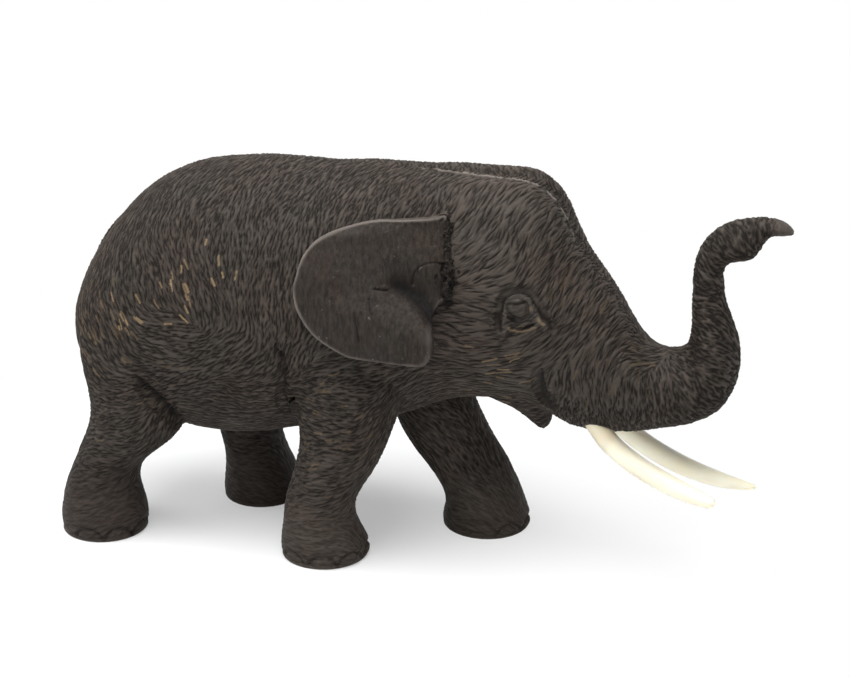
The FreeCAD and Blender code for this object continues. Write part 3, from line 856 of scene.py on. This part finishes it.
def carved_skin(points, quads, carving):
    """Moves the skin by the large forms and a slow swell, then by the gouge strokes. The soles
    and pockets stay still. Returns points, normals and each point's shares for the material."""
    normals = outward(points, quads)
    sole = eased((1.2 - points[:, 2]) / 0.8)
    still = np.maximum(sole, pocket_weight(points))
    marks = carved_marks(points, normals, carving)
    swell = lattice_noise(points, 11.0, 1) + 0.5 * lattice_noise(points, 5.0, 3) - 1.5
    move = (marks.height + carving.unevenness * swell) * (1 - still)
    points = points + normals * move[:, None]
    normals = outward(points, quads)
    keep_out = np.maximum(still, eye_and_tip(points))
    cut, share, fresh = gouge_strokes(points, normals, keep_out, carving)
    points = points - normals * cut[:, None]
    shares = {
        "cut": share,
        # painted shade, with the filler's crumbs and the darker hind legs
        "shade_and_crumbs": np.clip(marks.shade_and_crumbs, 0, 1),
        # rubbed ridges, with painted highlights on the crown's ridge and the trunk's finger
        "wear_and_highlight": np.clip(marks.wear_and_highlight, 0, 1),
        "bare": np.maximum(np.clip(marks.bare, 0, 1), fresh),
    }
    return points, outward(points, quads), shares


def block_numbers(points, quads):
    """The number of the block that each quad belongs to: the box its middle lies in, or the
    nearest foot's leg below LEG_TOP."""
    centre = points[quads].mean(axis=1)
    block_of = np.zeros(len(quads), int)
    for number, (_, low, high) in enumerate(BLOCKS):
        block_of[((centre >= low) & (centre < high)).all(axis=1)] = number
    feet = np.array([[x, y] for x, y, _ in FEET.values()])
    nearest = np.linalg.norm(centre[:, None, :2] - feet, axis=2).argmin(axis=1)
    legs = centre[:, 2] < LEG_TOP
    block_of[legs] = len(BLOCKS) + nearest[legs]
    return block_of


class ELEPHANT_OT_carved_body(bpy.types.Operator):
    """Carve the wooden body: folds, eyes, nails and gouge strokes, in blocks that join exactly"""
    bl_idname = "elephant.carved_body"
    bl_label = "Carve Body"
    bl_options = {"REGISTER", "UNDO"}

    def execute(self, context):
        carving = context.scene.elephant_carving
        points, quads = rubbed_skin(carving)
        points, normals, shares = carved_skin(points, quads, carving)
        block_of = block_numbers(points, quads)
        wood = gouged_wood(context.scene.elephant_look)
        names = [name for name, _, _ in BLOCKS] + list(FEET)
        for number, name in enumerate(names):
            closed = closed_block(number, block_of, quads, points, normals)
            used, own, facing, own_quads, fans = closed
            kept = np.minimum(used, len(points) - 1)
            block = mesh_object("wood_" + name, own, (own_quads, fans), "elephant",
                                ["carved_body"], facing, {k: v[kept] for k, v in shares.items()})
            block.data.materials.append(wood)
        return {"FINISHED"}


# ---------------------------------------------------------------------------
# Ears, fillers and tusks
# ---------------------------------------------------------------------------


def carved_ear(node, side, carving):
    """An ear's even skin, carved: its root sinks behind the lobe's step, with painted shade beside the
    step, its outer face gets the cuts, with painted shade in them, and the crumbs, and its edges are
    found where smoothing pulls the skin in, and rubbed pale, with painted highlights where they face up.
    Returns points, quads and each point's shares for the material."""
    points, quads = even_skin(node, carving.ear_skin_size)
    points = smoothed(points, quads, 4)
    normals = outward(points, quads)
    flat = points[:, [0, 2]]
    distance, signed = path_distance(flat, EAR_STEP)
    rounding = points - smoothed(points, quads, 24)
    edge = eased((np.einsum("ij,ij->i", rounding, normals) - 0.03) / 0.12)
    outer = eased(side * normals[:, 1] / 0.5)
    sunk = np.where(signed > 0, bell(distance, 5.5), bell(distance, 0.8))
    sunk *= eased((flat[:, 0] + 1.5) / 5)
    move = np.zeros_like(points)
    move[:, 1] = -side * carving.ear_step * sunk

    # painted shade in a band beside the lobe's step, wider on the root's side
    shade = np.where(signed > 0, bell(distance - 0.6, 2.6), bell(distance, 0.8))
    shade *= eased(flat[:, 0] / 3)
    crumbs = outer * seam_crumbs(points)
    # painted shade on the outer face at the step, and the black of the filler's crumbs
    shade_and_crumbs = (normals[:, 1] * side > 0) * shade + 0.8 * crumbs
    height = 0.3 * (lattice_noise(points, 7.0, 9) - 0.5)
    height += 0.12 * (lattice_noise(points, 1.1, 8) - 0.5)
    height -= 0.3 * crumbs
    # each cut sinks and gets painted shade along it
    for depth, half_width, path in EAR_CUTS:
        line = outer * bell(path_distance(flat, path)[0], half_width)
        height -= depth * line
        shade_and_crumbs += 0.75 * line

    brim = eased((-2.0 - flat[:, 0]) / 12) * eased((94 - flat[:, 1]) / 10)
    wear_and_highlight = (0.3 + 0.3 * brim) * edge * (0.5 + lattice_noise(points, 3.0, 7)) * outer
    # painted highlight on the edges that face up
    wear_and_highlight += 0.35 * edge * eased(normals[:, 2] * 2)
    shares = {"shade_and_crumbs": np.clip(shade_and_crumbs, 0, 1), "wear_and_highlight": np.clip(wear_and_highlight, 0, 1)}
    return points + move + normals * height[:, None], quads, shares


class ELEPHANT_OT_ears(bpy.types.Operator):
    """Shape both ears: the step behind the lobe with painted shade beside it, rubbed rims with painted
    highlights on top, a crack and scratches
    """
    bl_idname = "elephant.ears"
    bl_label = "Shape Ears"
    bl_options = {"REGISTER", "UNDO"}

    def execute(self, context):
        wood = ear_wood(context.scene.elephant_look)
        for node, side in (("right_ear", RIGHT), ("left_ear", LEFT)):
            points, quads, shares = carved_ear(node, side, context.scene.elephant_carving)
            ear = mesh_object("scraped_" + node, points, (quads,), "elephant", [node],
                              outward(points, quads), shares)
            ear.data.materials.append(wood)
        return {"FINISHED"}


class ELEPHANT_OT_fillers(bpy.types.Operator):
    """Lay the crumbly dark filler along each ear's seam"""
    bl_idname = "elephant.fillers"
    bl_label = "Lay Filler"
    bl_options = {"REGISTER", "UNDO"}

    def execute(self, context):
        carving = context.scene.elephant_carving
        paste = seam_filler(context.scene.elephant_look)
        for node in ("right_ear_filler", "left_ear_filler"):
            points, quads = even_skin(node, carving.filler_skin_size)
            points = smoothed(points, quads, 3)
            lumps = 2.0 * (lattice_noise(points, 1.5, 4) - 0.72)
            lumps += 0.8 * (lattice_noise(points, 0.7, 6) - 0.6)
            lumps -= 0.5 * eased((points[:, 2] - 98) / 4)
            points = points + outward(points, quads) * lumps[:, None]
            crumbled = 0.25 + 0.7 * eased((101 - points[:, 2]) / 6)
            bead = mesh_object("crumbly_" + node, points, (quads,), "elephant", [node],
                               attributes={"shade_and_crumbs": crumbled})
            bead.data.materials.append(paste)
        return {"FINISHED"}


def heading(yaw, pitch):
    """The direction at a yaw to the left and a pitch below level, in radians."""
    return np.stack([np.cos(pitch) * np.cos(yaw), np.cos(pitch) * np.sin(yaw), -np.sin(pitch)], -1)


def horn(root, out, straight, tip_pitch, bend_power, curved, diameter, tip_diameter):
    """A round profile carried along a path. The path runs straight from the root, then its pitch
    goes from the root's to the tip's with a power of the distance. The radius falls to the tip's
    with a high power, and the last rings close in a quarter circle. Points and quads, and each
    point's share along the path and its height on the profile."""
    around, rings, taper = 40, 120, 4.4
    yaw = math.atan2(out[1], out[0])
    root_pitch = math.asin(-out[2])
    step = (straight + curved) / rings
    travelled = np.arange(rings + 1) * step
    share = np.clip((travelled - straight) / curved, 0, 1)
    pitch = root_pitch + (tip_pitch - root_pitch) * share ** bend_power
    ahead = heading(yaw, pitch)
    path = root + np.concatenate([[np.zeros(3)], np.cumsum(ahead[:-1] * step, axis=0)])
    radius = (diameter + (tip_diameter - diameter) * share ** taper) / 2
    left = travelled[-1] - travelled
    blunt = tip_diameter * 0.55
    radius *= np.sqrt(np.clip(1 - np.clip(1 - left / blunt, 0, 1) ** 2, 0, 1))
    radius[0] *= 0.9
    side = heading(yaw + math.pi / 2, np.zeros(rings + 1))
    top = np.cross(ahead, side)
    turn = np.arange(around) * 2 * math.pi / around
    profile = np.cos(turn)[:, None] * side[:, None] + np.sin(turn)[:, None] * top[:, None]
    points = path[:, None] + radius[:, None, None] * profile
    number = np.arange((rings + 1) * around).reshape(rings + 1, around)
    after = np.roll(number, -1, axis=1)
    quads = np.stack([number[:-1], after[:-1], after[1:], number[1:]], -1).reshape(-1, 4)
    ends = len(number.ravel()) + np.array([0, 1])
    fan = [np.stack([after[0], number[0], np.full(around, ends[0])], 1),
           np.stack([number[-1], after[-1], np.full(around, ends[1])], 1)]
    every = np.concatenate([points.reshape(-1, 3), path[:1], path[-1:]])
    along = np.concatenate([np.repeat(share, around), [0, 1]])
    lift = np.concatenate([np.tile(np.sin(turn), rings + 1), [0, 0]])
    return every, (quads, *fan), along, lift


class ELEPHANT_OT_tusks(bpy.types.Operator):
    """Sweep the two cream tusks out of their sockets"""
    bl_idname = "elephant.tusks"
    bl_label = "Sweep Tusks"
    bl_options = {"REGISTER", "UNDO"}

    def execute(self, context):
        cream = tusk_cream(context.scene.elephant_look)
        sizes = context.scene.elephant_tusks
        slides = {joint["child"]: np.array(joint["axis"]) for joint in frame["joints"]}
        for name, given in (("right_tusk", sizes.right), ("left_tusk", sizes.left)):
            out = slides[name + "_peg"]
            out = out / np.linalg.norm(out)
            mouth = np.array(given.mouth) / MM
            root = mouth - out * sizes.root_length / MM
            straight = (sizes.root_length + sizes.neck_length) / MM
            points, faces, along, lift = horn(root, out, straight, given.tip_pitch, given.bend_power,
                                              given.curved_length / MM, sizes.diameter / MM,
                                              given.tip_diameter / MM)
            # an ochre stain along the top, fading out before the tip
            tan = 0.25 * eased((lift - 0.1) / 0.8) * eased((0.75 - along) / 0.6)
            # painted shade at the root, by the socket
            tan += 0.3 * eased((0.12 - along) / 0.1)
            tusk = mesh_object("cream_" + name, points, faces, name + "_peg", [name],
                               attributes={"tan": np.clip(tan, 0, 1)})
            tusk.data.materials.append(cream)
        return {"FINISHED"}


# ---------------------------------------------------------------------------
# Stage
# ---------------------------------------------------------------------------


def pale_floor(stage):
    """A white floor that keeps the figure's soft shadows and fades to the white backdrop. It is
    partly a plain white sheet of light, but only to the camera and in reflections, and all of it
    is from a little way off."""
    n = Nodes("pale floor")
    n.feed(n.shader.inputs["Base Color"], rgba((stage.floor_grey,) * 3))
    n.feed(n.shader.inputs["Roughness"], 0.9)
    n.feed(n.shader.inputs["Specular IOR Level"], 0.1)
    far = n.add("ShaderNodeVectorMath", operation="DISTANCE")
    n.feed(far.inputs[0], n.place)
    far.inputs[1].default_value = stage.shadow_middle
    share = n.span(far.outputs["Value"], stage.shadow_reach, 3 * stage.shadow_reach, stage.sheet, 1.0)
    rays = n.add("ShaderNodeLightPath")
    seen = n.math("MAXIMUM", rays.outputs["Is Camera Ray"], rays.outputs["Is Glossy Ray"])
    seen = n.math("MAXIMUM", seen, rays.outputs["Is Transmission Ray"])
    glow = n.add("ShaderNodeEmission")
    both = n.add("ShaderNodeMixShader")
    n.feed(both.inputs[0], n.math("MULTIPLY", share, seen))
    n.feed(both.inputs[1], n.shader.outputs[0])
    n.feed(both.inputs[2], glow.outputs[0])
    n.feed(n.tree.nodes["Material Output"].inputs["Surface"], both.outputs[0])
    return n.material


def area_light(name, place, target, size, power, colour):
    """A square soft box at a place, turned to its target."""
    light = bpy.data.lights.new(name, "AREA")
    light.shape = "SQUARE"
    light.size = size
    light.energy = power
    light.color = colour
    lamp = bpy.data.objects.new(name, light)
    bpy.context.scene.collection.objects.link(lamp)
    aim = np.array(target) - np.array(place)
    lamp.location = place
    tilt = math.acos(-aim[2] / np.linalg.norm(aim))
    lamp.rotation_euler = (tilt, 0, math.atan2(aim[1], aim[0]) - math.pi / 2)
    return lamp


def white_room(stage):
    """A world that is plain white to the camera and in reflections, and otherwise soft fill."""
    world = bpy.data.worlds.new("white room")
    world.use_nodes = True
    tree = world.node_tree
    shown = tree.nodes["Background"]
    shown.inputs["Color"].default_value = (1, 1, 1, 1)
    fill = tree.nodes.new("ShaderNodeBackground")
    fill.inputs["Color"].default_value = (0.93, 0.97, 1.0, 1)
    fill.inputs["Strength"].default_value = stage.fill_strength
    rays = tree.nodes.new("ShaderNodeLightPath")
    seen = rays.outputs["Is Camera Ray"]
    for kind in ("Is Glossy Ray", "Is Transmission Ray"):
        also = tree.nodes.new("ShaderNodeMath")
        also.operation = "MAXIMUM"
        tree.links.new(seen, also.inputs[0])
        tree.links.new(rays.outputs[kind], also.inputs[1])
        seen = also.outputs[0]
    either = tree.nodes.new("ShaderNodeMixShader")
    tree.links.new(seen, either.inputs[0])
    tree.links.new(fill.outputs[0], either.inputs[1])
    tree.links.new(shown.outputs[0], either.inputs[2])
    tree.links.new(either.outputs[0], tree.nodes["World Output"].inputs[0])
    return world


def placed_camera(stage):
    """The camera: at a bearing, a height angle and a distance from its target, turned to it."""
    camera = bpy.data.cameras.new("camera")
    camera.lens = stage.lens
    camera.sensor_width = 36
    view = bpy.data.objects.new("camera", camera)
    bpy.context.scene.collection.objects.link(view)
    turn, lift = stage.azimuth, stage.elevation
    level = math.cos(lift)
    back = np.array([math.sin(turn) * level, -math.cos(turn) * level, math.sin(lift)])
    view.location = np.array(stage.target) + back * stage.distance
    view.rotation_euler = (math.pi / 2 - lift, 0, turn)
    return view


class ELEPHANT_OT_stage(bpy.types.Operator):
    """Set the pale floor, the white backdrop, the soft boxes and the camera"""
    bl_idname = "elephant.stage"
    bl_label = "Set Stage"
    bl_options = {"REGISTER", "UNDO"}

    def execute(self, context):
        stage = context.scene.elephant_stage
        half = stage.floor_size / 2
        mesh = bpy.data.meshes.new("floor")
        corners = [(-half, -half, 0), (half, -half, 0), (half, half, 0), (-half, half, 0)]
        mesh.from_pydata(corners, [], [(0, 1, 2, 3)])
        floor = bpy.data.objects.new("floor", mesh)
        context.scene.collection.objects.link(floor)
        floor.data.materials.append(pale_floor(stage))

        context.scene.world = white_room(stage)
        area_light("top soft box", (-0.05, -0.25, 1.1), (0, 0, 0.05), 0.9, stage.top_power, (1, 1, 1))
        area_light("front soft box", (0.3, -1.1, 0.55), (0, 0, 0.06), 0.7, stage.front_power,
                   (1, 0.985, 0.96))
        area_light("rear soft box", (-0.9, -0.15, 0.75), (0, 0, 0.07), 0.6, stage.rear_power, (1, 1, 1))
        context.scene.camera = placed_camera(stage)
        context.scene.view_settings.view_transform = "Standard"
        return {"FINISHED"}


# ---------------------------------------------------------------------------
# Settings, panel and run
# ---------------------------------------------------------------------------


def millimetres(name, description, default):
    """A size of the carving sums, which are done in millimetres."""
    return bpy.props.FloatProperty(name=name, description=description, default=default, min=0)


def length(name, description, default):
    """A size in metres."""
    return bpy.props.FloatProperty(name=name, description=description, default=default,
                                   unit="LENGTH", precision=5)


def angle(name, description, degrees):
    """An angle, given in degrees and kept in radians."""
    return bpy.props.FloatProperty(name=name, description=description, subtype="ANGLE",
                                   default=math.radians(degrees))


def place(name, description, default=(0, 0, 0)):
    """A point in metres."""
    return bpy.props.FloatVectorProperty(name=name, description=description, default=default,
                                         subtype="TRANSLATION", precision=5)


def factor(name, description, default):
    """A share from 0 to 1."""
    return bpy.props.FloatProperty(name=name, description=description, default=default,
                                   subtype="FACTOR", min=0, max=1)


def power(name, description, default):
    """A light's power in watts."""
    return bpy.props.FloatProperty(name=name, description=description, default=default,
                                   unit="POWER", min=0)


def count(name, description, default):
    """A whole number."""
    return bpy.props.IntProperty(name=name, description=description, default=default, min=0)


def colour(name, description, red, green, blue):
    """A picked colour, given as 0 to 255."""
    return bpy.props.FloatVectorProperty(name=name, description=description,
                                         subtype="COLOR_GAMMA", min=0, max=1,
                                         default=(red / 255, green / 255, blue / 255))


class ElephantCarving(bpy.types.PropertyGroup):
    """Sizes of the carving work, in millimetres, and of the strokes"""
    skin_size: millimetres("Skin size", "Distance between the body's points, in millimetres", 0.31)
    ear_skin_size: millimetres("Ear skin size", "Distance between an ear's points, in millimetres", 0.34)
    filler_skin_size: millimetres("Filler skin size", "Distance between a filler's points, in millimetres",
                                  0.25)
    smooth_rounds: count("Smoothing", "Rounds that soften the joins", 5)
    rounding: count("Rounding", "Smoothing rounds at rubbed corners", 60)
    wander: millimetres("Wander", "How far the knife strays from the drawn lines, in millimetres", 0.8)
    unevenness: millimetres("Unevenness", "Slow swell of the knife work, in millimetres", 0.45)
    stroke_spacing: millimetres("Stroke spacing", "Distance between gouge strokes, in millimetres", 1.2)
    stroke_length: millimetres("Stroke length", "Length of a gouge stroke, in millimetres", 3.9)
    stroke_width: millimetres("Stroke width", "Width of a gouge stroke, in millimetres", 0.86)
    stroke_depth: millimetres("Stroke depth", "Depth of a gouge stroke, in millimetres", 0.34)
    stroke_sway: angle("Sway", "How far the strokes' slope drifts over a few strokes", 26)
    stroke_scatter: angle("Scatter", "How unevenly each stroke is laid beside the next", 7)
    ear_step: millimetres("Ear step", "How far the ear's root drops behind its lobe, in millimetres", 2.6)
    seed: count("Seed", "Another seed lays the strokes anew", 7)


class ElephantLook(bpy.types.PropertyGroup):
    """Colours of the wood, the filler and the tusks"""
    ridge_grey: colour("Ridge, grey", "Stained wood between the cuts", 61, 56, 51)
    ridge_red: colour("Ridge, warm", "Warmer patches between the cuts", 64, 54, 48)
    fibre: colour("Fibre", "Pale fibres in the stain", 80, 74, 68)
    # painted shade that darkens the cuts; it is also the dark of the ears' mottle and the filler's dust
    groove: colour("Groove", "Stain that gathers in the cuts", 25, 22, 19)
    # painted shade in folds, cuts and hollows; also the black of crumbled filler
    shade_and_crumbs: colour("Crease", "The deepest folds", 14, 12, 11)
    # rubbed ridges and rims, and painted highlights on the crown's ridge, the trunk's finger and the ears'
    # upward rims; also the ears' pale flecks
    wear_and_highlight: colour("Worn", "Rubbed ridges and rims", 118, 110, 104)
    bare: colour("Bare", "Wood with its stain worn away", 140, 120, 92)
    ear: colour("Ear", "Scraped ear wood", 36, 32, 29)
    ear_red: colour("Ear, warm", "Warmer patches of the ear", 42, 33, 28)
    cream: colour("Tusk", "Polished tusk", 247, 243, 224)
    cream_shade: colour("Tusk clouding", "Faint clouding of the tusk", 240, 233, 207)
    # ochre stain along a tusk's top, and painted shade at its root
    tan: colour("Tusk tan", "Tanned top of the tusk", 205, 184, 140)


class TuskSize(bpy.types.PropertyGroup):
    """The sizes that differ between the two tusks"""
    mouth: place("Socket mouth", "Middle of the socket's mouth")
    tip_pitch: angle("Tip pitch", "How far the tip dips", 10)
    bend_power: bpy.props.FloatProperty(name="Bend", description="1 bends evenly, less bends early",
                                        default=1.0, min=0.1)
    curved_length: length("Curved length", "Length beyond the neck", 0.04)
    tip_diameter: length("Tip diameter", "Thickness just before the end", 0.002)


class ElephantTusks(bpy.types.PropertyGroup):
    """The sizes that the tusks share, and each tusk's own"""
    diameter: length("Diameter", "Thickness at the root", 0.0062)
    root_length: length("Root length", "Straight stretch inside the socket", 0.009)
    neck_length: length("Neck length", "Straight stretch outside it", 0.003)
    right: bpy.props.PointerProperty(type=TuskSize)
    left: bpy.props.PointerProperty(type=TuskSize)


class ElephantStage(bpy.types.PropertyGroup):
    """Floor, light and camera"""
    floor_size: length("Floor size", "Side of the square floor", 6.0)
    floor_grey: factor("Floor grey", "Brightness of the floor", 0.93)
    sheet: factor("White sheet", "How white the floor is near the figure", 0.37)
    shadow_reach: length("Shadow reach", "How far from its middle the shadow keeps its depth", 0.05)
    shadow_middle: place("Shadow middle", "Middle of the shadowed floor", (-0.06, 0, 0))
    fill_strength: factor("Fill", "Light from all round", 0.21)
    top_power: power("Top light", "Power of the upper soft box", 21.0)
    front_power: power("Front light", "Power of the front soft box", 1.6)
    rear_power: power("Rear light", "Power of the rear soft box", 5.0)
    lens: bpy.props.FloatProperty(name="Lens", description="Focal length in millimetres",
                                  default=90.35, unit="CAMERA")
    azimuth: angle("Azimuth", "Camera bearing", 15)
    elevation: angle("Elevation", "Camera height angle", 20.5)
    distance: length("Distance", "From the camera to its target", 0.64)
    target: place("Target", "What the camera looks at", (0.003, 0, 0.0655))


STEPS = ("carved_body", "ears", "fillers", "tusks", "stage")


class ELEPHANT_PT_panel(bpy.types.Panel):
    """Every step of the carving, and its settings"""
    bl_idname = "ELEPHANT_PT_panel"
    bl_label = "Carved Elephant"
    bl_space_type = "VIEW_3D"
    bl_region_type = "UI"
    bl_category = "Carving"

    def draw(self, context):
        for step in STEPS:
            self.layout.operator("elephant." + step)
        for name in ("carving", "look", "tusks", "stage"):
            settings = getattr(context.scene, "elephant_" + name)
            box = self.layout.box()
            for key in settings.bl_rna.properties.keys()[2:]:
                box.prop(settings, key)


CLASSES = (ElephantCarving, ElephantLook, TuskSize, ElephantTusks, ElephantStage,
           ELEPHANT_OT_carved_body, ELEPHANT_OT_ears, ELEPHANT_OT_fillers, ELEPHANT_OT_tusks,
           ELEPHANT_OT_stage, ELEPHANT_PT_panel)


def register():
    """Registers the classes and hangs the settings on the scene."""
    for cls in CLASSES:
        bpy.utils.register_class(cls)
    bpy.types.Scene.elephant_carving = bpy.props.PointerProperty(type=ElephantCarving)
    bpy.types.Scene.elephant_look = bpy.props.PointerProperty(type=ElephantLook)
    bpy.types.Scene.elephant_tusks = bpy.props.PointerProperty(type=ElephantTusks)
    bpy.types.Scene.elephant_stage = bpy.props.PointerProperty(type=ElephantStage)


def unregister():
    """Takes the settings and the classes away again."""
    for name in ("carving", "look", "tusks", "stage"):
        delattr(bpy.types.Scene, "elephant_" + name)
    for cls in reversed(CLASSES):
        bpy.utils.unregister_class(cls)


def set_tusk(tusk, mouth, tip_pitch, bend_power, curved_length, tip_diameter):
    """Gives one tusk its own sizes, as metres and degrees."""
    tusk.mouth = mouth
    tusk.tip_pitch = math.radians(tip_pitch)
    tusk.bend_power = bend_power
    tusk.curved_length = curved_length
    tusk.tip_diameter = tip_diameter


def main():
    """Carves and dresses the whole figure."""
    register()
    tusks = bpy.context.scene.elephant_tusks
    set_tusk(tusks.right, (0.0578, -0.0065, 0.045), 11, 0.46, 0.0384, 0.0029)
    set_tusk(tusks.left, (0.0575, 0.0068, 0.045), 6.4, 1.04, 0.0492, 0.0014)
    for step in STEPS:
        getattr(bpy.ops.elephant, step)()


if __name__ == "__main__":
    main()
